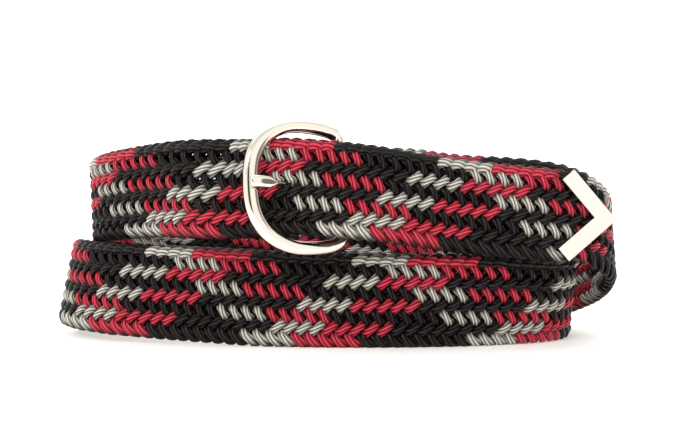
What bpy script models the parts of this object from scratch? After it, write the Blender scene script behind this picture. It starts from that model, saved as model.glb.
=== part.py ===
"""A braided belt, buckled and wound in two turns that stand on edge.

Four solids: the braided band, the cast D-shaped buckle frame with its hinge bar,
the prong, and the folded metal cap on the pointed tip. Sizes below are in
millimetres, the scene in metres. x runs along the belt as it is seen from the
front, y goes away from the viewer and z up.
"""
import math

import bmesh
import bpy
import numpy as np

MM = 0.001

# The braided band
BAND_WIDTH = 35.0
BAND_THICKNESS = 5.0
FREE_END_WIDTH = 33.2    # the free end is drawn a little narrower
FREE_END_LENGTH = 135.0
WIDTH_BLEND = 50.0       # length over which it widens to the band's full width
ROW_COUNT = 8            # lengthwise rows of the braid on each face
ROW_RELIEF = 0.7         # how far every second float lies under its neighbours
EDGE_SCALLOP = 0.6       # how far the edge falls back between two turned strands
EDGE_FLAT = 2.4          # width of the rounded edge's outermost strip
RING_STEP = 7.0          # distance of the band's cross-sections
TURN_GAP = 3.5           # height between the lower turn's top edge and the upper turn
FLOOR_BED = 0.6          # depth by which the resting edge is pressed flat
LAYER_GAP = 0.5          # air between the two layers behind the buckle
FOLD_WIDTH = 26.0        # the band is gathered to this width on the hinge bar
FOLD_THICKNESS = 4.4
TAIL_LENGTH = 30.0       # folded-back end, behind the buckle
FIT_GAP = 0.35           # air between pieces that touch

# The buckle
BAR_RADIUS = 2.5
BAR_X = -1.9
BAR_Y = 0.5
BAR_LIFT = 1.95          # buckle centre above the middle of the upper turn
FRAME_REACH = 35.0       # hinge bar centre to outer bar centre
SIDE_ROOM = 2.3          # room above and below the band inside the frame
ARM_WIDTH = 5.0
OUTER_BAR_WIDTH = 5.5
FRAME_DEPTH = 4.0
FRAME_ROLL = 0.5         # degrees, outer bar up
FRAME_LEAN = 6.0         # degrees, top of the frame backwards
FRAME_RISE = 17.0        # how far the outer bar stands in front of the hinge bar

# The prong
PRONG_WIDTH = 4.2
PRONG_DEPTH = 2.2
PRONG_RISE = 0.4         # height of the prong above the frame's middle
PRONG_LOOP_WIDTH = 5.0
SLOT_ROOM = 1.2          # room beside the prong's loop in the fold
HOLE_ROOM = 0.55         # room around the prong in the band

# The tip
TIP_LEG = 23.6           # outer length of each leg of the V
TIP_LEG_WIDTH = 5.8
TIP_DEPTH = 5.8
TIP_WALL = 0.9
TIP_BAND_THICKNESS = 3.2

# The band's way from its tip, twice around, to the hinge bar. level: its lower edge
# in turns (0 rests, 1 stands on the lower turn). lean: degrees, lower edge outwards.
# layers: how many thicknesses it lies in front of the buckle's hinge bar.
ROUTE = [
    # x      y      level  lean  layers
    (97.5, 4.0, 0.780, 6.0, 1.5),
    (91.5, 3.5, 0.796, 6.0, 1.5),
    (73.4, 2.0, 0.844, 6.0, 1.5),
    (37.1, 2.6, 0.954, 6.5, 1.5),
    (10.0, -3.3, 1.045, 6.0, 1.5),
    (-7.0, -3.1, 1.080, 3.4, 1.5),
    (-20.0, -1.8, 1.100, 1.6, 1.5),
    (-36.5, -0.7, 1.095, -0.7, 1.0),
    (-54.6, 2.2, 1.110, -3.4, 0.5),
    (-77.0, 17.4, 1.124, -5.1, 0.0),
    (-101.5, 35.9, 1.079, -3.5, 0.0),
    (-110.3, 55.7, 1.029, -1.9, 0.0),
    (-99.8, 77.5, 0.964, -0.7, 0.0),
    (-73.4, 89.9, 0.857, 0.9, 0.0),
    (-37.4, 91.7, 0.712, 2.7, 0.0),
    (-1.4, 88.7, 0.570, 4.6, 0.0),
    (34.6, 84.7, 0.411, 6.3, 0.0),
    (65.4, 74.7, 0.250, 6.8, 0.0),
    (87.3, 57.0, 0.111, 4.8, 0.0),
    (92.8, 34.9, 0.031, -1.3, 0.0),
    (85.0, 18.0, 0.006, -16.4, 0.0),
    (65.0, 7.9, 0.003, -15.5, 0.0),
    (36.2, 3.5, -0.002, -7.3, 0.0),
    (6.3, 3.3, -0.003, -1.1, 0.0),
    (-24.7, 6.1, 0.018, 3.0, 0.0),
    (-57.2, 11.0, 0.058, 3.3, 0.0),
    (-85.8, 17.4, 0.096, 6.0, 0.0),
    (-109.8, 31.4, 0.136, 9.6, 0.0),
    (-119.8, 49.6, 0.158, 10.3, 0.0),
    (-113.3, 72.7, 0.127, 5.9, 0.0),
    (-93.1, 93.2, 0.075, 0.6, 0.0),
    (-62.5, 102.0, 0.029, -0.4, 0.0),
    (-20.1, 103.1, 0.000, -1.6, 0.0),
    (22.0, 101.3, -0.003, -3.0, 0.0),
    (63.4, 95.9, 0.014, -4.1, 0.0),
    (93.9, 79.8, 0.108, -4.7, 0.0),
    (108.1, 57.3, 0.303, -4.3, 0.0),
    (109.2, 33.4, 0.527, 0.3, 0.0),
    (99.6, 14.9, 0.739, 9.0, 0.0),
    (83.4, 6.9, 0.890, 12.0, 0.0),
    (56.0, 8.3, 0.968, 10.0, 0.4),
    (30.0, 4.1, 1.000, 5.0, 0.5),
]

# The frame's outline from the outer bar's middle to the hinge bar's middle:
# share of the reach, share of half the frame's height
FRAME_CURVE = [
    # reach  height
    (1.000, 0.00),
    (0.991, 0.26),
    (0.962, 0.46),
    (0.917, 0.61),
    (0.848, 0.75),
    (0.762, 0.854),
    (0.636, 0.948),
    (0.506, 0.993),
    (0.385, 1.00),
    (0.230, 0.987),
    (0.096, 0.946),
    (0.030, 0.89),
    (0.003, 0.82),
    (0.000, 0.70),
    (0.000, 0.45),
    (0.000, 0.20),
    (0.000, 0.00),
]

# Middle line of the prong from the top of its loop to its point:
# share of the reach, height over the frame's plane in millimetres
PRONG_CURVE = [
    # reach  over
    (0.12, 3.3),
    (0.27, 1.0),
    (0.42, -1.2),
    (0.54, -2.4),
    (0.64, -2.0),
    (0.72, -0.4),
    (0.80, 1.7),
    (0.88, 3.2),
    (0.96, 3.75),
    (1.05, 3.7),
]

COLOURS = {"braided_band": (0.030, 0.028, 0.028), "buckle_frame": (0.82, 0.80, 0.76),
           "prong": (0.80, 0.78, 0.74), "tip_cap": (0.84, 0.82, 0.78)}

HALF_WIDTH = BAND_WIDTH / 2
HALF_THICKNESS = BAND_THICKNESS / 2
TURN_RISE = BAND_WIDTH + TURN_GAP
FOLD_RADIUS = BAR_RADIUS + FIT_GAP + FOLD_THICKNESS / 2
FRAME_HALF = HALF_WIDTH + SIDE_ROOM + ARM_WIDTH / 2
FRAME_TILT = math.asin(FRAME_RISE / FRAME_REACH)
UP = np.array([0.0, 0.0, 1.0])


def unit(a):
    return a / np.linalg.norm(a, axis=-1, keepdims=True)


def spline(points, values):
    """Natural cubic through the values (one row each), parameter = distance along points."""
    t = np.r_[0.0, np.cumsum(np.linalg.norm(np.diff(points, axis=0), axis=1))]
    n, h = len(t), np.diff(t)
    m, r = np.eye(n), np.zeros((n, values.shape[1]))
    for i in range(1, n - 1):
        m[i, i - 1:i + 2] = h[i - 1], 2 * (h[i - 1] + h[i]), h[i]
        r[i] = 6 * ((values[i + 1] - values[i]) / h[i] - (values[i] - values[i - 1]) / h[i - 1])
    c = np.linalg.solve(m, r)

    def at(s):
        s = np.atleast_1d(s)
        i = np.clip(np.searchsorted(t, s) - 1, 0, n - 2)
        a, b, w = (t[i + 1] - s)[:, None], (s - t[i])[:, None], h[i][:, None]
        return ((c[i] * a ** 3 + c[i + 1] * b ** 3) / (6 * w)
                + (values[i] / w - c[i] * w / 6) * a + (values[i + 1] / w - c[i + 1] * w / 6) * b)
    return at, t[-1]


def new_object(name, points, faces):
    mesh = bpy.data.meshes.new(name)
    mesh.from_pydata([tuple(p) for p in np.asarray(points) * MM], [], faces)
    mesh.update()
    bm = bmesh.new()
    bm.from_mesh(mesh)
    bmesh.ops.recalc_face_normals(bm, faces=bm.faces)
    bm.to_mesh(mesh)
    bm.free()
    obj = bpy.data.objects.new(name, mesh)
    bpy.context.scene.collection.objects.link(obj)
    return obj


def skin(name, rings, closed=False):
    """A closed body over rings of equal point count; open ends get a flat cap."""
    rings = np.asarray(rings)
    count, sides = rings.shape[:2]
    faces = []
    for i in range(count if closed else count - 1):
        a, b = i * sides, (i + 1) % count * sides
        faces += [(a + j, a + (j + 1) % sides, b + (j + 1) % sides, b + j) for j in range(sides)]
    if not closed:
        faces += [tuple(range(sides)), tuple((count - 1) * sides + j for j in reversed(range(sides)))]
    return new_object(name, rings.reshape(-1, 3), faces)


def cut(obj, cutter):
    cutter.hide_render = True
    cutter.display_type = "WIRE"
    mod = obj.modifiers.new("cut", "BOOLEAN")
    mod.operation, mod.solver, mod.object = "DIFFERENCE", "EXACT", cutter
    bpy.context.view_layer.update()
    mesh = bpy.data.meshes.new_from_object(obj.evaluated_get(bpy.context.evaluated_depsgraph_get()))
    obj.modifiers.clear()
    obj.data = mesh
    bpy.data.objects.remove(cutter)


def block(name, low, high):
    x0, y0, z0 = low
    x1, y1, z1 = high
    low_ring = [(x0, y0, z0), (x1, y0, z0), (x1, y1, z0), (x0, y1, z0)]
    return skin(name, [low_ring, [(x, y, z1) for x, y, z in low_ring]])


# The buckle stands in a tilted plane: reach_dir points from the hinge bar to the
# outer bar, bar_dir along the hinge bar, front_dir out of the plane to the viewer.
upper_middle = TURN_RISE * 1.04 + HALF_WIDTH
bar_middle = np.array([BAR_X, BAR_Y, upper_middle + BAR_LIFT])
flat_reach = np.array([-math.cos(FRAME_TILT), -math.sin(FRAME_TILT), 0.0])
level_front = np.array([math.sin(FRAME_TILT), -math.cos(FRAME_TILT), 0.0])
roll, back_lean = math.radians(FRAME_ROLL), math.radians(FRAME_LEAN)
front_dir = level_front * math.cos(back_lean) + UP * math.sin(back_lean)
slope = UP * math.cos(back_lean) - level_front * math.sin(back_lean)
reach_dir = flat_reach * math.cos(roll) + slope * math.sin(roll)
bar_dir = slope * math.cos(roll) - flat_reach * math.sin(roll)


def buckle_point(reach, along, over):
    reach, along, over = (np.asarray(a, float)[..., None] for a in (reach, along, over))
    return bar_middle + reach * reach_dir + along * bar_dir + over * front_dir


def route_stations():
    """Route points, then the fold around the hinge bar and the end folded back."""
    x, y, level, lean, layers = np.array(ROUTE).T
    z = level * TURN_RISE + HALF_WIDTH * np.cos(np.radians(lean))
    pts = np.c_[x, y - layers * BAND_THICKNESS, z]
    side = np.array([-1.0, 0.0, 0.0])
    side = unit(side - side @ bar_dir * bar_dir)
    front = unit(np.cross(side, bar_dir))
    if front[1] > 0:
        front = -front
    turn = np.radians(np.arange(0, 181, 22.5))[:, None]
    fold = bar_middle + FOLD_RADIUS * (np.cos(turn) * front + np.sin(turn) * side)
    back = unit(pts[-1] - fold[0])
    inward = unit(np.cross(back, UP))
    if inward[1] < 0:
        inward = -inward
    gap = (BAND_THICKNESS + FOLD_THICKNESS) / 2 + LAYER_GAP
    way = np.array([0.45, 0.72, 1.0]) * TAIL_LENGTH
    off = np.array([gap + 1.0, gap + 0.5, gap + 0.5])
    tail = fold[0] + way[:, None] * back + off[:, None] * inward
    all_pts = np.r_[pts, fold, tail]
    leans = np.r_[lean, np.zeros(len(fold) + len(tail))]
    return all_pts, leans, len(pts), len(pts) + len(fold)


def band_frames():
    """Cross-section places: centre, direction, across (up) and outward, one row each."""
    pts, leans, first_fold, first_tail = route_stations()
    at, total = spline(pts, np.c_[pts, leans])
    marks = np.r_[0.0, np.cumsum(np.linalg.norm(np.diff(pts, axis=0), axis=1))]
    fold_start, fold_end = marks[first_fold], marks[first_tail - 1]
    tip_end = TIP_LEG + 4.0
    tip_start = TIP_WALL * math.sqrt(2) + 0.6
    near = fold_start - 6.0
    s = np.r_[np.linspace(tip_start, tip_end, 17),
              np.linspace(tip_end, near, round((near - tip_end) / RING_STEP / 2) * 2 + 1)[1:],
              np.linspace(near, fold_start, 4)[1:], np.linspace(fold_start, fold_end, 10)[1:],
              np.linspace(fold_end, total, 8)[1:]]
    q = at(s)
    along = unit(at(s + 0.05)[:, :3] - at(s - 0.05)[:, :3])
    out = unit(np.cross(UP, along))
    across = np.cross(out, along)
    across *= np.sign(across[:, 2:])
    lean = np.radians(q[:, 3:])
    across = across * np.cos(lean) - out * np.sin(lean)
    blend = np.clip((s - (fold_start - 26.0)) / 20.0, 0.0, 1.0)[:, None]
    blend = blend * blend * (3 - 2 * blend)
    across = across * (1 - blend) + bar_dir * blend
    across = unit(across - (across * along).sum(1, keepdims=True) * along)
    out = np.cross(along, across)
    return s, q[:, :3], along, across, out, fold_start


def make_band():
    s, mid, along, across, out, fold_start = band_frames()
    shift = np.abs(s - fold_start)
    near_fold = np.where(s > fold_start, 1.0, np.clip(1.0 - shift / 34.0, 0.0, 1.0))
    near_fold = near_fold * near_fold * (3 - 2 * near_fold)
    half = HALF_WIDTH + (FOLD_WIDTH / 2 - HALF_WIDTH) * near_fold
    free = np.clip((FREE_END_LENGTH - s) / WIDTH_BLEND + 0.5, 0.0, 1.0)
    half = half + (FREE_END_WIDTH - BAND_WIDTH) / 2 * free * free * (3 - 2 * free)
    pointed = np.maximum(s - TIP_WALL * math.sqrt(2) - FIT_GAP * 1.5, 0.3)
    half = np.minimum(half, pointed)
    thick = HALF_THICKNESS + (FOLD_THICKNESS - BAND_THICKNESS) / 2 * near_fold
    row = (np.arange(ROW_COUNT) + 0.5) / ROW_COUNT * 2 - 1
    edge_drop = np.where(np.abs(row) > 1 - 1.6 / ROW_COUNT, 0.78, 1.0)
    rings = []
    for i in range(len(s)):
        low = (np.arange(ROW_COUNT) + i) % 2
        calm = 1.0 - near_fold[i] * 0.8
        h = (thick[i] - ROW_RELIEF * calm * low) * edge_drop
        leg = (s[i] - np.abs(row) * half[i]) * math.sqrt(0.5)
        squeeze = np.clip((leg - TIP_LEG_WIDTH - FIT_GAP - BAND_WIDTH / ROW_COUNT) / 2.2, 0.0, 1.0)
        h = TIP_BAND_THICKNESS / 2 + (h - TIP_BAND_THICKNESS / 2) * squeeze
        h = np.minimum(h, 0.35 * half[i] + 0.25)
        edge = half[i] - EDGE_SCALLOP * calm * (i % 2) * (half[i] > HALF_WIDTH * 0.93)
        strip = min(EDGE_FLAT / 2, 0.6 * h[0])
        v = np.r_[row * half[i], edge, edge, row[::-1] * half[i], -edge, -edge]
        o = np.r_[h, strip, -strip, -h[::-1], -strip, strip]
        rings.append(mid[i] + v[:, None] * across[i] + o[:, None] * out[i])
    band = skin("braided_band", rings)
    low_z = min(p[2] for r in rings for p in r)
    cut(band, block("floor_cut", (-200, -60, low_z - 20), (200, 180, low_z + FLOOR_BED)))
    return band, low_z + FLOOR_BED


def frame_line(turns):
    """Middle line of the frame and its width, for turns from 0 to 1 around."""
    half = np.array(FRAME_CURVE)
    pts = np.r_[half, half[-2:0:-1] * [1, -1]]
    pts = np.r_[pts, pts[:1]] * [FRAME_REACH, FRAME_HALF]
    at, total = spline(pts, pts)
    return at(np.asarray(turns) * total)


def make_frame():
    count = 76
    turns = np.arange(count) / count
    mid = frame_line(turns)
    step = frame_line((turns + 0.002) % 1.0) - frame_line((turns - 0.002) % 1.0)
    step = unit(step)
    outward = np.c_[step[:, 1], -step[:, 0]]
    outward *= np.sign((outward * (mid - [FRAME_REACH * 0.45, 0])).sum(1))[:, None]
    far = np.clip(mid[:, 0] / FRAME_REACH, 0, 1)
    width = ARM_WIDTH + (OUTER_BAR_WIDTH - ARM_WIDTH) * np.clip((far - 0.6) / 0.4, 0, 1)
    roundness = np.clip((0.16 - far) / 0.12, 0, 1)[:, None]
    # across the bar, over the plane: domed in front, flatter behind
    domed = np.array([(-0.50, -0.18), (-0.45, 0.16), (-0.26, 0.40), (0.0, 0.50), (0.26, 0.40),
                      (0.45, 0.16), (0.50, -0.18), (0.30, -0.46), (-0.30, -0.46)])
    angle = np.arctan2(domed[:, 1], domed[:, 0])
    across = domed[:, 0] * width[:, None] * (1 - roundness) + roundness * BAR_RADIUS * np.cos(angle)
    over = domed[:, 1] * FRAME_DEPTH * (1 - roundness) + roundness * BAR_RADIUS * np.sin(angle)
    flat = mid[:, None, :] + across[:, :, None] * outward[:, None, :]
    return skin("buckle_frame", buckle_point(flat[..., 0], flat[..., 1], over), closed=True)


def prong_rings(extra):
    """The loop around the hinge bar, then the curved shank; extra widens the section."""
    radius = BAR_RADIUS + FIT_GAP + PRONG_DEPTH / 2
    if extra:
        line = []
    else:
        turn = np.radians(np.linspace(-38, -270, 17))
        line = [(radius * math.cos(a), radius * math.sin(a)) for a in turn]
    line += [(r * FRAME_REACH, o) for r, o in PRONG_CURVE]
    pts = np.array(line)
    at, total = spline(pts, pts)
    s = np.linspace(0, total, 46 if not extra else 26)
    mid, step = at(s), unit(at(s + 0.02) - at(s - 0.02))
    normal = np.c_[-step[:, 1], step[:, 0]]
    left = total - s
    loop = np.clip((left - 0.86 * FRAME_REACH) / 6.0, 0, 1) if not extra else 0 * s
    wide = PRONG_WIDTH + (PRONG_LOOP_WIDTH - PRONG_WIDTH) * loop
    taper = np.clip(0.55 + left / 9.0, 0, 1) if not extra else 0 * s + 1
    half_w = wide / 2 * taper + extra
    half_d = PRONG_DEPTH / 2 * (0.35 + 0.65 * taper) + extra
    around = np.radians(np.arange(8) * 45 + 22.5)
    c, d = np.cos(around) / math.cos(math.pi / 8), np.sin(around) / math.cos(math.pi / 8)
    reach = mid[:, :1] + half_d[:, None] * d * normal[:, :1]
    over = mid[:, 1:] + half_d[:, None] * d * normal[:, 1:]
    return buckle_point(reach, PRONG_RISE + half_w[:, None] * c, over)


def make_tip(s, mid, along, across, out):
    apex = mid[0] - along[0] * s[0]
    t, a, o = along[0], across[0], out[0]
    r = math.sqrt(0.5)

    def outline(leg, inset, end):
        tip = inset / r
        outer = np.array([leg * r, leg * r]) + np.array([tip, 0.0])
        inner = outer + np.array([r, -r]) * (end - inset)
        point = np.array([tip + (end - inset) / r, 0.0])
        return [(tip, 0.0), tuple(outer), tuple(inner), tuple(point),
                (inner[0], -inner[1]), (outer[0], -outer[1])]

    def plate(name, shape, depth):
        layers = [[apex + t * x + a * v + o * w for x, v in shape] for w in (-depth / 2, depth / 2)]
        return skin(name, layers)

    cap = plate("tip_cap", outline(TIP_LEG, 0.0, TIP_LEG_WIDTH), TIP_DEPTH)
    cut(cap, plate("tip_room", outline(TIP_LEG + 3.0, TIP_WALL, TIP_LEG_WIDTH + 3.0),
                   TIP_DEPTH - 2 * TIP_WALL))
    return cap


def finish(obj):
    mesh = obj.data
    mat = bpy.data.materials.new(obj.name)
    mat.use_nodes = True
    shader = mat.node_tree.nodes["Principled BSDF"]
    shader.inputs["Base Color"].default_value = (*COLOURS[obj.name], 1.0)
    metal = obj.name != "braided_band"
    shader.inputs["Metallic"].default_value = 1.0 if metal else 0.0
    shader.inputs["Roughness"].default_value = 0.2 if metal else 0.8
    mesh.materials.clear()
    mesh.materials.append(mat)
    bm = bmesh.new()
    bm.from_mesh(mesh)
    bmesh.ops.triangulate(bm, faces=bm.faces)
    bm.to_mesh(mesh)
    bm.free()


for old in list(bpy.data.objects):
    bpy.data.objects.remove(old)

band_places = band_frames()
band, floor = make_band()
slot_half = PRONG_LOOP_WIDTH / 2 + SLOT_ROOM
fold_out = FOLD_RADIUS + FOLD_THICKNESS / 2
slot = []
for along_bar in (PRONG_RISE - slot_half, PRONG_RISE + slot_half):
    slot.append([buckle_point(r, along_bar, o) for r, o in
                 ((-BAR_RADIUS - 2.6, -fold_out - 2.0), (fold_out + 3.0, -fold_out - 2.0),
                  (fold_out + 3.0, fold_out + 0.1), (-BAR_RADIUS - 2.6, fold_out + 0.1))])
cut(band, skin("loop_slot", slot))
cut(band, skin("prong_hole", prong_rings(HOLE_ROOM)))
pieces = [band, make_frame(), skin("prong", prong_rings(0.0)), make_tip(*band_places[:5])]

box = np.array([v.co for p in pieces for v in p.data.vertices])
low, high = box.min(0), box.max(0)
shift = np.array([-(low[0] + high[0]) / 2, -(low[1] + high[1]) / 2, -low[2]])
for piece in pieces:
    for v in piece.data.vertices:
        v.co += type(v.co)(shift)
    finish(piece)
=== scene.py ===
"""Looks of the braided belt: seventeen twisted cords braided flat, and polished metal fittings.

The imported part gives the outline, the place of every piece and its size. Here the band's
solid is shown as the cords it is braided from, and the buckle frame and the prong as smooth
polished metal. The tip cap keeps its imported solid. Lengths are in millimetres until a mesh
is made.
"""
import math

import bpy
import numpy as np
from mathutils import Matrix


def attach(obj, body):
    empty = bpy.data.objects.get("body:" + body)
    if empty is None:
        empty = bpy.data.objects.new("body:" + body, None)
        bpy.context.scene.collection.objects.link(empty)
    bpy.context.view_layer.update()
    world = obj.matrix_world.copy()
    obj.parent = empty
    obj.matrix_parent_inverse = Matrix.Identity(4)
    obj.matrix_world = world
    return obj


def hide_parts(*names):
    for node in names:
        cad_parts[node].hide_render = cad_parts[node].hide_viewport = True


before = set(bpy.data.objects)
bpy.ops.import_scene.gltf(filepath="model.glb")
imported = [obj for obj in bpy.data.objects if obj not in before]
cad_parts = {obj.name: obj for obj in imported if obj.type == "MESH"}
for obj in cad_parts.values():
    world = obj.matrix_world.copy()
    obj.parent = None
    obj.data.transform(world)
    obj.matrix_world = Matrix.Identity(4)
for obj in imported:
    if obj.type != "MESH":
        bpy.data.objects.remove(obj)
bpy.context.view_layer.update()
MM = 0.001
SHIFT = np.array([5.771, -42.416, -0.367])   # from the belt's own drawing to the row frame

# The photograph's camera, level and a little above the middle of the belt
camera_data = bpy.data.cameras.new("photo_camera")
camera_data.sensor_width = 36.0
camera_data.lens = 35.74
camera_data.shift_y = 0.0352
camera_data.clip_start = 0.01
camera = bpy.data.objects.new("photo_camera", camera_data)
camera.location = (0.005771, -0.295366, 0.037883)
camera.rotation_euler = (math.pi / 2, 0.0, 0.0)
bpy.context.scene.collection.objects.link(camera)
bpy.context.scene.camera = camera

# Sizes, as in the part
BAND_WIDTH = 35.0
BAND_THICKNESS = 5.0
FREE_END_LENGTH = 135.0
WIDTH_BLEND = 50.0
TURN_GAP = 3.5
LAYER_GAP = 0.5
FOLD_WIDTH = 26.0
FOLD_THICKNESS = 4.4
TAIL_LENGTH = 30.0
FIT_GAP = 0.35
BAR_RADIUS = 2.5
BAR_X, BAR_Y, BAR_LIFT = -1.9, 0.5, 1.95
FRAME_REACH = 35.0
SIDE_ROOM = 2.3
ARM_WIDTH = 5.0
OUTER_BAR_WIDTH = 5.5
FRAME_DEPTH = 4.0
FRAME_ROLL = 0.5
FRAME_LEAN = 6.0
FRAME_RISE = 17.0
PRONG_WIDTH = 4.2
PRONG_DEPTH = 2.2
PRONG_RISE = 0.4
PRONG_LOOP_WIDTH = 5.0
WAIST_AT, WAIST_REACH, WAIST_NARROW = 0.71, 0.14, 0.72   # the prong's waist, in shares of the reach
TIP_LEG_WIDTH = 5.8

HALF_WIDTH = BAND_WIDTH / 2
TURN_RISE = BAND_WIDTH + TURN_GAP
FOLD_RADIUS = BAR_RADIUS + FIT_GAP + FOLD_THICKNESS / 2
FRAME_HALF = HALF_WIDTH + SIDE_ROOM + ARM_WIDTH / 2
FRAME_TILT = math.asin(FRAME_RISE / FRAME_REACH)
UP = np.array([0.0, 0.0, 1.0])

# The band's way from its tip, twice around, to the hinge bar, as in the part
ROUTE = [
    # x      y      level  lean  layers
    (97.5, 4.0, 0.780, 6.0, 1.5),
    (91.5, 3.5, 0.796, 6.0, 1.5),
    (73.4, 2.0, 0.844, 6.0, 1.5),
    (37.1, 2.6, 0.954, 6.5, 1.5),
    (10.0, -3.3, 1.045, 6.0, 1.5),
    (-7.0, -3.1, 1.080, 3.4, 1.5),
    (-20.0, -1.8, 1.090, 1.6, 1.5),
    (-36.5, -0.7, 1.072, -0.7, 1.0),
    (-54.6, 2.2, 1.082, -3.4, 0.5),
    (-77.0, 17.4, 1.098, -5.1, 0.0),
    (-101.5, 35.9, 1.058, -3.5, 0.0),
    (-110.3, 55.7, 1.020, -1.9, 0.0),
    (-99.8, 77.5, 0.964, -0.7, 0.0),
    (-73.4, 89.9, 0.857, 0.9, 0.0),
    (-37.4, 91.7, 0.712, 2.7, 0.0),
    (-1.4, 88.7, 0.570, 4.6, 0.0),
    (34.6, 84.7, 0.411, 6.3, 0.0),
    (65.4, 74.7, 0.250, 6.8, 0.0),
    (87.3, 57.0, 0.111, 4.8, 0.0),
    (92.8, 34.9, 0.031, -1.3, 0.0),
    (85.0, 18.0, 0.006, -16.4, 0.0),
    (65.0, 7.9, 0.003, -15.5, 0.0),
    (36.2, 3.5, -0.002, -7.3, 0.0),
    (6.3, 3.3, -0.003, -1.1, 0.0),
    (-24.7, 6.1, 0.018, 3.0, 0.0),
    (-57.2, 11.0, 0.058, 3.3, 0.0),
    (-85.8, 17.4, 0.096, 6.0, 0.0),
    (-109.8, 31.4, 0.136, 9.6, 0.0),
    (-119.8, 49.6, 0.158, 10.3, 0.0),
    (-113.3, 72.7, 0.127, 5.9, 0.0),
    (-93.1, 93.2, 0.075, 0.6, 0.0),
    (-62.5, 102.0, 0.029, -0.4, 0.0),
    (-20.1, 103.1, 0.000, -1.6, 0.0),
    (22.0, 101.3, -0.003, -3.0, 0.0),
    (63.4, 95.9, 0.014, -4.1, 0.0),
    (93.9, 79.8, 0.108, -4.7, 0.0),
    (108.1, 57.3, 0.303, -4.3, 0.0),
    (109.2, 33.4, 0.527, 0.3, 0.0),
    (99.6, 14.9, 0.739, 9.0, 0.0),
    (83.4, 6.9, 0.890, 12.0, 0.0),
    (56.0, 8.3, 0.968, 10.0, 0.4),
    (30.0, 4.1, 1.000, 5.0, 0.5),
]

# The braid: seventeen cords, each passing over two and under two
CORD_COUNT = 17
CYCLE = 2.0 * CORD_COUNT     # lattice steps of one zigzag, down the band and up again
CORD_COLOURS = ["grey"] * 4 + ["red"] * 5 + ["black"] * 8
CORD_HALF_WIDTH = 2.15       # a cord's section, along the face and through the band
CORD_HALF_DEPTH = 1.32
CREST_NARROW = 0.30          # share by which a float is slimmer where it lies on top
WEAVE_HEIGHT = 1.45          # a cord's middle above or below the band's middle
EDGE_WIDEN = 0.14            # share by which a cord is fuller where it turns at an edge
FALL_NARROW = 0.06           # share by which the falling floats are slimmer still
FOLD_NARROW = 0.18           # share by which every cord is slimmer in the narrow fold
BACK_LEAN = 0.72             # how far the falling floats are pulled upright
PLY_COUNT = 7
PLY_DIP = 0.86               # radius between two plies, share of the radius on a ply
TWIST_LENGTH = 24.0          # one full turn of the plies, right-handed
RING_STEP = 1.12             # length between the mesh rings of a cord
START_PHASE = -5.62          # lattice time at which the first cord starts up the band
STEP_ALONG = 2.53            # mean length of a lattice step along and across the band
STEP_ACROSS = 2.2
# Where the prong goes through the free end: the cords part, and the band swells a little
HOLE_FROM, HOLE_TO, HOLE_HEIGHT, HOLE_OPEN = 114.0, 124.5, 0.4, 1.6
SWELL_AT, SWELL_RISE, SWELL_LENGTH, SWELL_HEIGHT = 121.0, 0.4, 4.5, 6.0
SLOT_OPEN = 3.9              # how far the cords stand aside for the prong's loop in the fold
# Two lattice steps along the band take this length
PITCH = [
    # s      pitch
    (0.0, 5.07),
    (230.0, 5.07),
    (231.0, 5.28),
    (500.0, 5.28),
    (501.0, 5.03),
    (715.0, 5.03),
    (716.0, 4.494),
    (1055.0, 4.494),
    (1056.0, 5.03),
    (1300.0, 5.03),
]
# Height on the band of the lattice places, from 1 at the top edge to 17 at the bottom edge
LANES = [
    # place  height
    (1.0, 16.20),
    (2.0, 15.60),
    (3.0, 14.40),
    (4.0, 12.00),
    (5.0, 9.75),
    (15.0, -12.40),
    (16.0, -14.20),
    (17.0, -15.90),
]
FREE_END_LANES = [
    # place  height
    (1.0, 14.90),
    (2.0, 14.60),
    (3.0, 13.65),
    (4.0, 11.45),
    (5.0, 9.30),
    (15.0, -12.25),
    (16.0, -13.95),
    (17.0, -15.10),
]
# Between the tip and the buckle the free end hangs a little below the middle of its solid
SETTLE = [
    # s      drop
    (0.0, 0.0),
    (25.0, 0.3),
    (60.0, 0.55),
    (98.0, 0.5),
    (114.0, 0.1),
    (125.0, 0.0),
]
# The belt was drawn through the buckle and round its bends: how far the pattern has moved
# along there, in lattice steps, and how that grows with height
DRAW = [
    # s     steps  steps per millimetre of height
    (0.0, -0.8, 0.0),
    (60.0, -0.2, 0.0),
    (85.0, -0.35, 0.0),
    (98.0, 0.2, 0.02),
    (112.0, 0.9, 0.04),
    (122.0, 1.2, 0.045),
    (143.0, 2.7, 0.06),
    (152.0, 3.1, 0.10),
    (164.0, 2.0, 0.13),
    (173.5, 1.3, 0.13),
    (183.7, 0.2, 0.11),
    (196.0, -0.3, 0.11),
    (235.0, -0.6, 0.11),
    (300.0, 0.0, 0.0),
    (470.0, 0.6, 0.0),
    (517.0, 1.4, 0.0),
    (535.0, 1.2, 0.0),
    (558.0, 0.9, 0.0),
    (596.0, 0.65, 0.0),
    (611.0, 0.8, 0.0),
    (642.0, 1.3, 0.0),
    (658.0, 1.8, 0.0),
    (675.0, 2.05, 0.0),
    (695.0, 1.8, 0.0),
    (725.0, 0.9, 0.0),
    (800.0, 0.0, 0.0),
    (1300.0, 0.0, 0.0),
]

# Half of the frame's middle line, in shares of its reach and of its half height
FRAME_CURVE = [
    # reach  height
    (1.000, 0.00),
    (0.991, 0.26),
    (0.962, 0.46),
    (0.917, 0.61),
    (0.848, 0.75),
    (0.762, 0.854),
    (0.636, 0.948),
    (0.506, 0.993),
    (0.385, 1.00),
    (0.230, 0.987),
    (0.096, 0.946),
    (0.030, 0.89),
    (0.003, 0.82),
    (0.000, 0.70),
    (0.000, 0.45),
    (0.000, 0.20),
    (0.000, 0.00),
]

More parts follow.
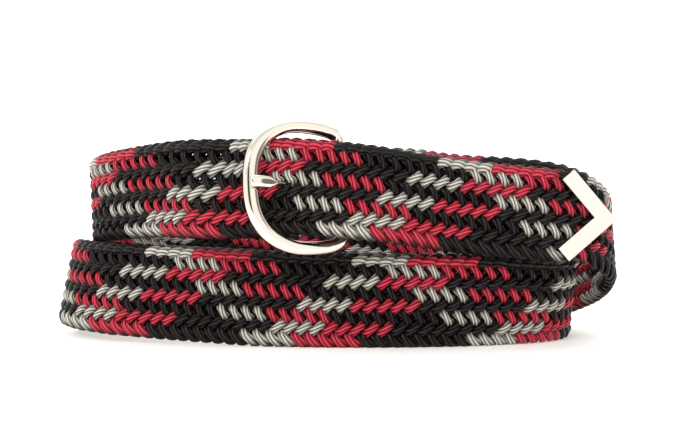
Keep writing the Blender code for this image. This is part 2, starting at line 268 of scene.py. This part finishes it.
# The prong's middle line: share of the frame's reach, and height over the buckle's plane
PRONG_CURVE = [
    # reach  over
    (0.12, 3.3),
    (0.27, 1.0),
    (0.42, -1.2),
    (0.52, -1.9),
    (0.60, -0.9),
    (0.68, 0.9),
    (0.765, 2.3),
    (0.88, 3.3),
    (0.96, 3.75),
    (1.05, 3.7),
]


# Shape helpers
def unit(a):
    return a / np.linalg.norm(a, axis=-1, keepdims=True)


def smooth(x):
    x = np.clip(x, 0.0, 1.0)
    return x * x * (3 - 2 * x)


def look_up(table, x, column=1):
    t = np.array(table)
    return np.interp(x, t[:, 0], t[:, column])


def spline(points, values):
    """Natural cubic through the values (one row each), parameter = distance along points."""
    t = np.r_[0.0, np.cumsum(np.linalg.norm(np.diff(points, axis=0), axis=1))]
    n, h = len(t), np.diff(t)
    m, r = np.eye(n), np.zeros((n, values.shape[1]))
    for i in range(1, n - 1):
        m[i, i - 1:i + 2] = h[i - 1], 2 * (h[i - 1] + h[i]), h[i]
        r[i] = 6 * ((values[i + 1] - values[i]) / h[i] - (values[i] - values[i - 1]) / h[i - 1])
    c = np.linalg.solve(m, r)

    def at(s):
        s = np.atleast_1d(s)
        i = np.clip(np.searchsorted(t, s) - 1, 0, n - 2)
        a, b, w = (t[i + 1] - s)[:, None], (s - t[i])[:, None], h[i][:, None]
        return ((c[i] * a ** 3 + c[i + 1] * b ** 3) / (6 * w)
                + (values[i] / w - c[i] * w / 6) * a + (values[i + 1] / w - c[i + 1] * w / 6) * b)
    return at, t[-1]


upper_middle = TURN_RISE * 1.04 + HALF_WIDTH
bar_middle = np.array([BAR_X, BAR_Y, upper_middle + BAR_LIFT])
flat_reach = np.array([-math.cos(FRAME_TILT), -math.sin(FRAME_TILT), 0.0])
level_front = np.array([math.sin(FRAME_TILT), -math.cos(FRAME_TILT), 0.0])
roll, back_lean = math.radians(FRAME_ROLL), math.radians(FRAME_LEAN)
front_dir = level_front * math.cos(back_lean) + UP * math.sin(back_lean)
slope = UP * math.cos(back_lean) - level_front * math.sin(back_lean)
reach_dir = flat_reach * math.cos(roll) + slope * math.sin(roll)
bar_dir = slope * math.cos(roll) - flat_reach * math.sin(roll)


def buckle_point(reach, along, over):
    """From the buckle's own plane (reach from the hinge bar, height, out of the plane)."""
    reach, along, over = (np.asarray(a, float)[..., None] for a in (reach, along, over))
    return bar_middle + reach * reach_dir + along * bar_dir + over * front_dir


def route_stations():
    """Route points, then the fold around the hinge bar and the end folded back."""
    x, y, level, lean, layers = np.array(ROUTE).T
    z = level * TURN_RISE + HALF_WIDTH * np.cos(np.radians(lean))
    pts = np.c_[x, y - layers * BAND_THICKNESS, z]
    side = np.array([-1.0, 0.0, 0.0])
    side = unit(side - side @ bar_dir * bar_dir)
    front = unit(np.cross(side, bar_dir))
    if front[1] > 0:
        front = -front
    turn = np.radians(np.arange(0, 181, 22.5))[:, None]
    fold = bar_middle + FOLD_RADIUS * (np.cos(turn) * front + np.sin(turn) * side)
    back = unit(pts[-1] - fold[0])
    inward = unit(np.cross(back, UP))
    if inward[1] < 0:
        inward = -inward
    gap = (BAND_THICKNESS + FOLD_THICKNESS) / 2 + LAYER_GAP
    way = np.array([0.45, 0.72, 1.0]) * TAIL_LENGTH
    off = np.array([gap + 1.0, gap + 0.5, gap + 0.5])
    tail = fold[0] + way[:, None] * back + off[:, None] * inward
    all_pts = np.r_[pts, fold, tail]
    leans = np.r_[lean, np.zeros(len(fold) + len(tail))]
    marks = np.r_[0.0, np.cumsum(np.linalg.norm(np.diff(all_pts, axis=0), axis=1))]
    return all_pts, leans, marks[len(pts)], marks[len(pts) + len(fold) - 1]


stations, station_leans, fold_start, fold_end = route_stations()
route_at, route_length = spline(stations, np.c_[stations, station_leans])
fine_s = np.linspace(0.0, route_length, 4801)
fine_mid = route_at(fine_s)[:, :3]
fine_arc = np.r_[0.0, np.cumsum(np.linalg.norm(np.diff(fine_mid, axis=0), axis=1))]


def band_place(s):
    """Middle of the band at route parameter s, with its up and outward directions."""
    q = route_at(s)
    along = unit(route_at(s + 0.05)[:, :3] - route_at(s - 0.05)[:, :3])
    out = unit(np.cross(UP, along))
    across = np.cross(out, along)
    across *= np.sign(across[:, 2:])
    lean = np.radians(q[:, 3:])
    across = across * np.cos(lean) - out * np.sin(lean)
    blend = smooth((s - (fold_start - 26.0)) / 20.0)[:, None]
    across = across * (1 - blend) + bar_dir * blend
    across = unit(across - (across * along).sum(1, keepdims=True) * along)
    return q[:, :3], along, across, np.cross(across, along)


def surface(name, grid, closed_rows=False, uv_scale=(1.0, 1.0), depth=None):
    """A tube over grid[row, point]: points run around, rows run along. It closes on itself,
    or each end is closed by a fan to its middle point. U goes from 0 to uv_scale[0] around
    the tube, and V grows by uv_scale[1] a row. depth is kept as an attribute of the points."""
    rows, sides = grid.shape[:2]
    points = grid.reshape(-1, 3)
    i = np.arange(rows if closed_rows else rows - 1)[:, None]
    j = np.arange(sides)[None, :]
    nxt_i, nxt_j = (i + 1) % rows, (j + 1) % sides
    quads = np.stack([i * sides + j, i * sides + nxt_j, nxt_i * sides + nxt_j,
                      nxt_i * sides + j], -1).reshape(-1, 4)
    loops, starts = [quads.reshape(-1)], [np.arange(len(quads)) * 4]
    if not closed_rows:
        middle = np.stack([grid[0].mean(0), grid[-1].mean(0)])
        base = len(points)
        points = np.r_[points, middle]
        k = np.arange(sides)
        first = np.stack([k, np.full(sides, base), (k + 1) % sides], -1)
        off = (rows - 1) * sides
        last = np.stack([off + k, off + (k + 1) % sides, np.full(sides, base + 1)], -1)
        count = len(quads) * 4
        loops += [first.reshape(-1), last.reshape(-1)]
        starts += [count + np.arange(sides) * 3, count + sides * 3 + np.arange(sides) * 3]
    loops, starts = np.concatenate(loops), np.concatenate(starts)
    mesh = bpy.data.meshes.new(name)
    mesh.vertices.add(len(points))
    mesh.vertices.foreach_set("co", ((points + SHIFT) * MM).astype(np.float32).reshape(-1))
    mesh.loops.add(len(loops))
    mesh.loops.foreach_set("vertex_index", loops.astype(np.int32))
    mesh.polygons.add(len(starts))
    mesh.polygons.foreach_set("loop_start", starts.astype(np.int32))
    mesh.update(calc_edges=True)
    mesh.polygons.foreach_set("use_smooth", np.ones(len(starts), bool))
    layer = mesh.uv_layers.new(name="surface")
    count_i = len(i)
    u = np.stack([j + 0 * i, j + 1 + 0 * i, j + 1 + 0 * i, j + 0 * i], -1) / sides * uv_scale[0]
    v = np.stack([i + 0 * j, i + 0 * j, i + 1 + 0 * j, i + 1 + 0 * j], -1) * uv_scale[1]
    uv = np.zeros((len(loops), 2), np.float32)
    uv[:count_i * sides * 4, 0] = u.reshape(-1)
    uv[:count_i * sides * 4, 1] = v.reshape(-1)
    layer.data.foreach_set("uv", uv.reshape(-1))
    if depth is not None:
        values = np.full(len(points), 0.5, np.float32)
        values[:rows * sides] = depth.reshape(-1)
        mesh.attributes.new("depth", "FLOAT", "POINT").data.foreach_set("value", values)
    obj = bpy.data.objects.new(name, mesh)
    bpy.context.scene.collection.objects.link(obj)
    return obj


# Materials
FIBRES_ON_PLY = 9.0          # fibre lines across one ply; real ones are too fine to show
FIBRE_LENGTH = 1.43          # length over which a fibre line changes its tone
GROOVE_DEPTH = 0.35          # relief of the yarn between two plies
HAZE_SIZE = 6.25             # size of a polishing cloud on the metal
DIMPLE_SIZE = 11.1           # length of the slow waves that a buffing wheel leaves
DIMPLE_DEPTH = 0.4


def colour(code):
    """sRGB hex code to linear red, green, blue, alpha."""
    c = np.array([int(code[i:i + 2], 16) for i in (1, 3, 5)]) / 255.0
    return (*np.where(c <= 0.04045, c / 12.92, ((c + 0.055) / 1.055) ** 2.4), 1.0)


def add_node(tree, kind, settings=(), links=()):
    """One node: settings are (input or property, value), links are (input, socket)."""
    node = tree.nodes.new(kind)
    for key, value in settings:
        if isinstance(key, str) and hasattr(node, key) and key not in node.inputs:
            setattr(node, key, value)
        else:
            node.inputs[key].default_value = value
    for key, socket in links:
        tree.links.new(socket, node.inputs[key])
    return node


def new_material(name, settings):
    mat = bpy.data.materials.new(name)
    mat.use_nodes = True
    shader = mat.node_tree.nodes["Principled BSDF"]
    for key, value in settings.items():
        shader.inputs[key].default_value = value
    return mat, mat.node_tree, shader


def cord_material(name, groove_shade, body, crest_highlight, gloss, rough):
    """Waxed twisted yarn. u counts the plies: its fraction gives each ply a round back in the bump,
    and colours it from painted shade in the hollow beside it up to a painted highlight on its
    back. Fibre lines run along the ply, and a thin wax film gives a soft highlight on every ply.
    Where a cord passes under others its colour is darker: painted shade between the cords."""
    mat, tree, shader = new_material(name, {"Specular IOR Level": gloss})
    uv = add_node(tree, "ShaderNodeUVMap", [("uv_map", "surface")]).outputs[0]
    u = add_node(tree, "ShaderNodeSeparateXYZ", (), [(0, uv)]).outputs[0]
    part = add_node(tree, "ShaderNodeMath", [("operation", "FRACT")], [(0, u)]).outputs[0]
    side = add_node(tree, "ShaderNodeMath", [("operation", "MULTIPLY_ADD"), (1, 2.0), (2, -1.0)],
                    [(0, part)]).outputs[0]
    square = add_node(tree, "ShaderNodeMath", [("operation", "MULTIPLY")],
                      [(0, side), (1, side)]).outputs[0]
    round_back = add_node(tree, "ShaderNodeMath", [("operation", "SUBTRACT"), (0, 1.0)],
                          [(1, square)]).outputs[0]
    stretch = add_node(tree, "ShaderNodeMapping", [("Scale", (FIBRES_ON_PLY, 1 / FIBRE_LENGTH, 1.0))],
                       [("Vector", uv)])
    fibre = add_node(tree, "ShaderNodeTexNoise", [("Scale", 1.0), ("Detail", 3.0), ("Roughness", 0.6)],
                     [("Vector", stretch.outputs[0])]).outputs["Fac"]
    uneven = add_node(tree, "ShaderNodeMath", [("operation", "MULTIPLY_ADD"), (1, 0.5), (2, -0.25)],
                      [(0, fibre)]).outputs[0]
    level = add_node(tree, "ShaderNodeMath", [("operation", "ADD")], [(0, round_back), (1, uneven)])
    # Colour from the ply's profile: painted shade in the hollow between plies, the yarn's own colour, a
    # painted highlight on the ply's back; the fibre noise adds uneven tone
    ramp = add_node(tree, "ShaderNodeValToRGB", (), [("Fac", level.outputs[0])])
    stops = ramp.color_ramp.elements
    stops[0].position, stops[0].color = 0.12, colour(groove_shade)
    stops[1].position, stops[1].color = 1.0, colour(crest_highlight)
    middle = stops.new(0.50)
    middle.color = colour(body)
    # Painted shade: the colour darkens where a point lies deep in the band, under other cords
    inside = add_node(tree, "ShaderNodeAttribute", [("attribute_name", "depth")]).outputs["Fac"]
    shade = add_node(tree, "ShaderNodeMapRange",
                     [("From Min", 0.34), ("From Max", 0.88), ("To Min", 0.10), ("To Max", 1.0)],
                     [("Value", inside)])
    tint = add_node(tree, "ShaderNodeMix", [("data_type", "RGBA"), ("blend_type", "MULTIPLY")])
    tint.inputs["Factor"].default_value = 1.0
    tree.links.new(ramp.outputs["Color"], tint.inputs[6])
    tree.links.new(shade.outputs[0], tint.inputs[7])
    tree.links.new(tint.outputs[2], shader.inputs["Base Color"])
    rough_map = add_node(tree, "ShaderNodeMapRange",
                         [("From Min", 0.3), ("From Max", 0.7), ("To Min", rough - 0.06),
                          ("To Max", rough + 0.1)], [("Value", fibre)])
    tree.links.new(rough_map.outputs[0], shader.inputs["Roughness"])
    relief = add_node(tree, "ShaderNodeMath", [("operation", "MULTIPLY_ADD"), (1, 0.25)],
                      [(0, fibre), (2, round_back)])
    bump = add_node(tree, "ShaderNodeBump", [("Strength", 0.9), ("Distance", GROOVE_DEPTH * MM)],
                    [("Height", relief.outputs[0])])
    tree.links.new(bump.outputs[0], shader.inputs["Normal"])
    return mat


def metal_material(name, code, rough, wave):
    """Buffed nickel plate: a bright warm-white mirror, with faint polishing haze. The tint
    darkens it where it turns away, so that its rims show against a white room."""
    mat, tree, shader = new_material(name, {"Base Color": colour(code), "Metallic": 1.0,
                                            "Specular Tint": (0.22, 0.21, 0.20, 1.0)})
    place = add_node(tree, "ShaderNodeTexCoord").outputs["Object"]
    haze = add_node(tree, "ShaderNodeTexNoise", [("Scale", 1 / (HAZE_SIZE * MM)), ("Detail", 3.0)],
                    [("Vector", place)])
    rough_map = add_node(tree, "ShaderNodeMapRange",
                         [("From Min", 0.3), ("From Max", 0.7), ("To Min", rough * 0.7),
                          ("To Max", rough * 1.4)], [("Value", haze.outputs["Fac"])])
    tree.links.new(rough_map.outputs[0], shader.inputs["Roughness"])
    dimple = add_node(tree, "ShaderNodeTexNoise", [("Scale", 1 / (DIMPLE_SIZE * MM)), ("Detail", 1.0)],
                      [("Vector", place)])
    bump = add_node(tree, "ShaderNodeBump", [("Strength", wave), ("Distance", DIMPLE_DEPTH * MM)],
                    [("Height", dimple.outputs["Fac"])])
    tree.links.new(bump.outputs[0], shader.inputs["Normal"])
    return mat


# Per cord: painted shade in the ply hollows, the cord's own colour, a painted highlight on the ply backs,
# then gloss and roughness
cord_finish = {
    "black": cord_material("waxed_cord_black", "#020101", "#0b0909", "#2b2625", 0.16, 0.34),
    "red": cord_material("waxed_cord_red", "#3a030b", "#ab192f", "#da3c52", 0.28, 0.42),
    "grey": cord_material("waxed_cord_grey", "#322f2a", "#a09b92", "#d6d2c8", 0.28, 0.45),
}
buckle_nickel = metal_material("nickel_plate_buckle", "#f1ece0", 0.10, 0.08)
tip_nickel = metal_material("nickel_plate_tip", "#f6f3ec", 0.16, 0.08)


# The braid
def lattice_time():
    """Lattice time runs against the band's length, and half a pitch of length is one step."""
    grid = np.arange(-20.0, fine_arc[-1] + 20.0, 0.5)
    rate = 2.0 / look_up(PITCH, grid)
    time = -np.r_[0.0, np.cumsum((rate[1:] + rate[:-1]) * 0.25)]
    return grid, time - np.interp(0.0, grid, time)


ARC_GRID, TIME_GRID = lattice_time()


def part_cords(s, v):
    """Cords stand aside where the prong goes through, and at its loop in the fold: the
    height becomes the hypotenuse of itself and the opening."""
    window = smooth((s - HOLE_FROM) / 4.0) * smooth((HOLE_TO - s) / 3.0)
    off = v - HOLE_HEIGHT
    v = HOLE_HEIGHT + np.sign(off) * np.sqrt(off ** 2 + (HOLE_OPEN * window) ** 2)
    slot = smooth((s - (fold_start - 7.0)) / 5.0) * smooth((fold_end + 7.0 - s) / 5.0)
    side = np.where(v >= 0, 1.0, -1.0)
    return v + side * slot * SLOT_OPEN * np.clip(1 - np.abs(v) / HALF_WIDTH, 0, 1)


def swell(s, v):
    """The prong lifts the band's front around its hole by a bell curve."""
    far = ((s - SWELL_AT) / SWELL_LENGTH) ** 2 + ((v - HOLE_HEIGHT) / SWELL_HEIGHT) ** 2
    return SWELL_RISE * np.exp(-far)


def cord_path(index):
    """Middle line of one cord along the whole belt: points, face directions, its shares of
    thickness and of width, and its height over the band's middle. In lattice time u the cord
    climbs one place a step, turns at the top edge at u = 16, falls, and turns at the bottom
    edge at u = 33. Over a float and under the next its height is a cosine of its place."""
    first, last = TIME_GRID[-1], TIME_GRID[0]
    step = RING_STEP / math.hypot(STEP_ALONG, STEP_ACROSS)
    time = np.arange(last - 2.0, first + 2.0, -step)
    phase = START_PHASE + 2 * index
    u = (time - phase) % CYCLE
    rising = 16.5 - u
    falling = u - 15.5
    top_turn = 1.5 - 0.5 * np.cos((u - 16.0) * math.pi / 2)
    place = np.where(u <= 15.0, rising, np.where(u >= 17.0, falling, top_turn))
    place = np.where(u >= 32.0, 16.5 + 0.5 * np.cos((u - 33.0) * math.pi / 2), place)
    height_rise = np.cos(math.pi * (place - 2.0) / 2)
    top_dip = np.cos(math.pi * (u - 14.5) / 3)
    weave = np.where(u <= 14.5, height_rise, np.where(u >= 17.5, -height_rise, top_dip))
    weave = np.where(u >= 31.5, np.cos(math.pi * (u - 31.5) / 3), weave)
    weave = np.where(u < 0.5, np.cos(math.pi * (u + CYCLE - 31.5) / 3), weave)
    weave = weave / np.sqrt(weave ** 2 + 6.0) * math.sqrt(7.0)
    pull = np.where((u > 17.5) & (u < 31.5), np.sin(math.pi * (place - 4.0) / 2), 0.0)
    tick = time - BACK_LEAN / STEP_ALONG * pull
    v = look_up(LANES, place)
    arc = np.interp(-tick, -TIME_GRID, ARC_GRID)
    free = smooth((FREE_END_LENGTH - arc) / WIDTH_BLEND + 0.5)
    v = v + free * (look_up(FREE_END_LANES, place) - v) - look_up(SETTLE, arc)
    tick = tick + look_up(DRAW, arc) + look_up(DRAW, arc, 2) * v
    arc = np.interp(-tick, -TIME_GRID, ARC_GRID)
    s = np.interp(arc, fine_arc, fine_s, left=-50.0, right=route_length + 50.0)
    # The pointed tip: each cord starts inside the metal cap
    keep = (s - np.abs(v) > 0.5) & (s < route_length - 1.0)
    s, v, weave, pull, place = s[keep], v[keep], weave[keep], pull[keep], place[keep]
    limit = np.maximum(s - 3.3, 0.4)
    v = np.sign(v) * np.minimum(np.abs(v), limit)
    leg = (s - np.abs(v)) * math.sqrt(0.5)
    squeeze = 0.74 + 0.26 * smooth((leg - TIP_LEG_WIDTH - 0.3) / 3.0)
    near_fold = np.where(s > fold_start, 1.0, np.clip(1.0 - np.abs(s - fold_start) / 34.0, 0, 1))
    near_fold = smooth(near_fold)
    v = v * (1 + (FOLD_WIDTH / BAND_WIDTH - 1) * near_fold)
    thin = squeeze * (1 + (FOLD_THICKNESS / BAND_THICKNESS - 1) * near_fold)
    v = part_cords(s, v)
    mid, _, across, out = band_place(s)
    height = weave * WEAVE_HEIGHT * thin + swell(s, v)
    points = mid + v[:, None] * across + height[:, None] * out
    slim = (CREST_NARROW + FALL_NARROW * (pull != 0)) * smooth((np.abs(weave) - 0.4) / 0.6)
    slim -= EDGE_WIDEN * smooth((np.abs(place - 9.0) - 5.5) / 2.0)
    narrow = (1 - FOLD_NARROW * near_fold) * (1 - slim)
    return points, out, thin, narrow, height


def make_cord(index):
    """An oval carried along the cord's middle line. Its radius dips between the plies, and
    the ring of plies turns once in TWIST_LENGTH, so the mesh lines run with the yarn."""
    points, face, thin, narrow, height = cord_path(index)
    tangent = unit(np.gradient(points, axis=0))
    normal = unit(face - (face * tangent).sum(1, keepdims=True) * tangent)
    side = np.cross(tangent, normal)
    length = np.r_[0.0, np.cumsum(np.linalg.norm(np.diff(points, axis=0), axis=1))]
    sides = PLY_COUNT * 2
    around = np.arange(sides) / sides * 2 * math.pi
    angle = around[None, :] - length[:, None] * (2 * math.pi / TWIST_LENGTH)
    dip = np.where(np.arange(sides) % 2 == 0, PLY_DIP, 1.0)[None, :]
    a = (CORD_HALF_WIDTH * narrow)[:, None] * dip * np.cos(angle)
    b = (CORD_HALF_DEPTH * thin)[:, None] * dip * np.sin(angle)
    grid = points[:, None, :] + a[..., None] * side[:, None, :] + b[..., None] * normal[:, None, :]
    grid[..., 2] = np.maximum(grid[..., 2], -SHIFT[2] + 0.02)
    # depth: how far a point lies out from the band's middle; where it is low the cord colour gets painted
    # shade
    lift = height[:, None] + b * (normal * face).sum(1)[:, None]
    depth = np.abs(lift) / (WEAVE_HEIGHT + CORD_HALF_DEPTH)
    tone = CORD_COLOURS[index]
    cord = surface(f"{tone}_cord_{index + 1:02d}", grid, uv_scale=(PLY_COUNT, RING_STEP), depth=depth)
    cord.data.materials.append(cord_finish[tone])
    return cord


cords = [make_cord(i) for i in range(CORD_COUNT)]


# The metal pieces
def frame_line(turns):
    """The frame's middle line, a closed spline through FRAME_CURVE and its mirror image."""
    half = np.array(FRAME_CURVE)
    pts = np.r_[half, half[-2:0:-1] * [1, -1]]
    pts = np.r_[pts, pts[:1]] * [FRAME_REACH, FRAME_HALF]
    at, total = spline(pts, pts)
    return at(np.asarray(turns) * total)


def rounded(corners, radius, steps=4):
    """Closed outline through the corners (x, y rows) with every corner rounded off."""
    corners = np.asarray(corners, float)
    back, ahead = np.roll(corners, 1, 0) - corners, np.roll(corners, -1, 0) - corners
    cut_back = np.minimum(radius, np.linalg.norm(back, axis=1) * 0.45)[:, None]
    cut_ahead = np.minimum(radius, np.linalg.norm(ahead, axis=1) * 0.45)[:, None]
    start, end = corners + unit(back) * cut_back, corners + unit(ahead) * cut_ahead
    k = (np.arange(steps + 1) / steps)[None, :, None]
    arc = (1 - k) ** 2 * start[:, None] + 2 * k * (1 - k) * corners[:, None] + k ** 2 * end[:, None]
    return arc.reshape(-1, 2)


def make_frame():
    """A domed section carried around the D, which turns round at the hinge bar. The section
    is the curve (cos a, sin a) with both values raised to a power below one, lower at its
    back, so that the front is a dome and the back is flatter."""
    count, sides = 420, 36
    turns = np.arange(count) / count
    mid = frame_line(turns)
    step = unit(frame_line((turns + 0.002) % 1.0) - frame_line((turns - 0.002) % 1.0))
    outward = np.c_[step[:, 1], -step[:, 0]]
    outward *= np.sign((outward * (mid - [FRAME_REACH * 0.45, 0])).sum(1))[:, None]
    far = np.clip(mid[:, 0] / FRAME_REACH, 0, 1)
    width = ARM_WIDTH + (OUTER_BAR_WIDTH - ARM_WIDTH) * np.clip((far - 0.6) / 0.4, 0, 1)
    roundness = np.clip((0.16 - far) / 0.12, 0, 1)[:, None]
    angle = np.arange(sides) / sides * 2 * math.pi
    c, d = np.cos(angle), np.sin(angle)
    power = np.where(d > 0, 0.9, 0.6)
    flat_c, flat_d = np.sign(c) * np.abs(c) ** power / 2, np.sign(d) * np.abs(d) ** power / 2
    across = flat_c * width[:, None] * (1 - roundness) + roundness * BAR_RADIUS * c
    over = flat_d * FRAME_DEPTH * (1 - roundness) + roundness * BAR_RADIUS * d
    flat = mid[:, None, :] + across[:, :, None] * outward[:, None, :]
    return surface("buckle_frame_nickel", buckle_point(flat[..., 0], flat[..., 1], over), closed_rows=True)


def make_prong():
    """A rounded rectangle carried along the loop around the hinge bar and the curved shank.
    Its width shrinks towards the point, and at the waist, where it dips into the braid."""
    radius = BAR_RADIUS + FIT_GAP + PRONG_DEPTH / 2
    turn = np.radians(np.linspace(-38, -270, 17))
    line = [(radius * math.cos(a), radius * math.sin(a)) for a in turn]
    line += [(r * FRAME_REACH, o) for r, o in PRONG_CURVE]
    pts = np.array(line)
    at, total = spline(pts, pts)
    s = np.r_[np.linspace(0, total - 3.0, 150), np.linspace(total - 3.0, total, 16)[1:]]
    mid, step = at(s), unit(at(s + 0.02) - at(s - 0.02))
    normal = np.c_[-step[:, 1], step[:, 0]]
    left = total - s
    loop = np.clip((left - 0.86 * FRAME_REACH) / 6.0, 0, 1)
    wide = PRONG_WIDTH + (PRONG_LOOP_WIDTH - PRONG_WIDTH) * loop
    taper = np.clip(0.85 + left / 12.0, 0, 1)
    end = np.sqrt(np.clip(1 - np.clip(1 - left / 0.9, 0, 1) ** 2, 0.02, 1))
    share = mid[:, 0] / FRAME_REACH
    waist = 1 - WAIST_NARROW * smooth(1 - np.abs(share - WAIST_AT) / WAIST_REACH) * (left < FRAME_REACH / 2)
    half_w = wide / 2 * taper * end * waist
    half_d = PRONG_DEPTH / 2 * (0.35 + 0.65 * taper) * end
    ring = rounded([(-1, -1), (1, -1), (1, 1), (-1, 1)], 0.85, 6)
    reach = mid[:, :1] + half_d[:, None] * ring[:, 1] * normal[:, :1]
    over = mid[:, 1:] + half_d[:, None] * ring[:, 1] * normal[:, 1:]
    return surface("prong_nickel", buckle_point(reach, PRONG_RISE + half_w[:, None] * ring[:, 0], over))


frame_metal, prong_metal = make_frame(), make_prong()
for piece in (frame_metal, prong_metal):
    piece.data.materials.append(buckle_nickel)
tip_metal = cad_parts["tip_cap"]
tip_metal.data.materials.clear()
tip_metal.data.materials.append(tip_nickel)

for cord in cords:
    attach(cord, "root")
    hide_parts("braided_band")
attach(frame_metal, "root")
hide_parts("buckle_frame")
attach(prong_metal, "root")
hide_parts("prong")


# Floor and light
floor_mesh = bpy.data.meshes.new("studio_floor")
side, depth, rise, bend = 4.0, 0.9, 3.0, 0.6
profile = [(-2.5, 0.0), (depth, 0.0)]
turns = np.linspace(0.1, math.pi / 2, 14)
profile += [(depth + bend * math.sin(a), bend * (1 - math.cos(a))) for a in turns]
profile += [(depth + bend, rise)]
corners = [(x, y, z) for y, z in profile for x in (-side, side)]
strips = [(2 * i, 2 * i + 1, 2 * i + 3, 2 * i + 2) for i in range(len(profile) - 1)]
floor_mesh.from_pydata(corners, [], strips)
floor_mesh.polygons.foreach_set("use_smooth", np.ones(len(floor_mesh.polygons), bool))
# Matt cream paper, lit from all around: pale, with only a faint shadow under the belt
paper, _, _ = new_material("lit_cream_paper", {
    "Base Color": colour("#f3f2ef"), "Roughness": 0.9, "Specular IOR Level": 0.2,
    "Emission Color": colour("#fffdfa"), "Emission Strength": 0.30})
# Painted wall with light on it: a plain white backdrop without a corner
wall, _, _ = new_material("lit_white_wall", {
    "Base Color": colour("#f3f3f3"), "Roughness": 1.0,
    "Emission Color": colour("#ffffff"), "Emission Strength": 0.85})
floor_mesh.materials.append(paper)
floor_mesh.materials.append(wall)
on_wall = np.arange(len(floor_mesh.polygons)) > 1
floor_mesh.polygons.foreach_set("material_index", on_wall.astype(np.int32))
studio_floor = bpy.data.objects.new("studio_floor", floor_mesh)
bpy.context.scene.collection.objects.link(studio_floor)


def soft_light(name, place, aim, size, radiance, tint=(1.0, 1.0, 1.0)):
    """A rectangular soft box that faces aim; its power follows from size and radiance."""
    data = bpy.data.lights.new(name, "AREA")
    data.shape, data.size, data.size_y = "RECTANGLE", size[0], size[1]
    data.energy, data.color = radiance * math.pi * size[0] * size[1], tint
    light = bpy.data.objects.new(name, data)
    light.location = place
    way = np.array(aim) - np.array(place)
    light.rotation_euler = (math.atan2(math.hypot(way[0], way[1]), -way[2]), 0.0,
                            math.atan2(way[0], -way[1]) + math.pi)
    bpy.context.scene.collection.objects.link(light)
    return light


world = bpy.data.worlds.new("studio")
bpy.context.scene.world = world
world.use_nodes = True
sky = world.node_tree
way = add_node(sky, "ShaderNodeTexCoord").outputs["Generated"]
height = add_node(sky, "ShaderNodeSeparateXYZ", (), [(0, way)]).outputs[2]
# A white room, warmer below the horizon and dimmer towards the ceiling
room = add_node(sky, "ShaderNodeValToRGB", (), [("Fac", add_node(sky, "ShaderNodeMapRange", [
    ("From Min", -0.5), ("From Max", 1.0)], [("Value", height)]).outputs[0])])
room.color_ramp.elements[0].color = (1.10, 1.02, 0.88, 1.0)
room.color_ramp.elements[1].position = 0.62
room.color_ramp.elements[1].color = (1.14, 1.13, 1.10, 1.0)
room.color_ramp.elements.new(0.96).color = (0.62, 0.62, 0.62, 1.0)
level = room.outputs[0]
# Dark places of the room that polished metal picks up, each with a soft rim
ROOM_SPOTS = [
    # direction            inner, outer radius in degrees, brightness left
    ((0.03, -1.0, 0.24), 9.0, 20.0, 0.05),
    ((-0.45, -0.75, 0.50), 7.0, 15.0, 0.35),
    ((0.98, -0.20, 0.21), 9.0, 17.0, 0.18),
]
for direction, inner, outer, dark in ROOM_SPOTS:
    toward = unit(np.array(direction))
    near = add_node(sky, "ShaderNodeVectorMath", [("operation", "DOT_PRODUCT"), (1, tuple(toward))],
                    [(0, way)])
    dim = add_node(sky, "ShaderNodeMapRange", [
        ("interpolation_type", "SMOOTHSTEP"), ("From Min", math.cos(math.radians(outer))),
        ("From Max", math.cos(math.radians(inner))), ("To Min", 1.0), ("To Max", dark)],
        [("Value", near.outputs["Value"])])
    level = add_node(sky, "ShaderNodeVectorMath", [("operation", "SCALE")],
                     [(0, level), ("Scale", dim.outputs[0])]).outputs[0]
# The dark places show in the metal, and the backdrop itself stays plain
plain = add_node(sky, "ShaderNodeMix", [("data_type", "RGBA"), (7, (1.1, 1.1, 1.08, 1.0))], [
    (0, add_node(sky, "ShaderNodeLightPath").outputs["Is Camera Ray"]), (6, level)])
sky.links.new(plain.outputs[2], sky.nodes["Background"].inputs["Color"])
soft_light("overhead_box", (0.0, -0.05, 1.2), (0.0, 0.0, 0.0), (1.6, 1.2), 0.75)
soft_light("key_box", (-0.55, -0.95, 0.75), (0.0, -0.04, 0.04), (0.28, 0.28), 22.0, (1.0, 0.98, 0.95))

scene = bpy.context.scene
scene.view_settings.view_transform = "Standard"
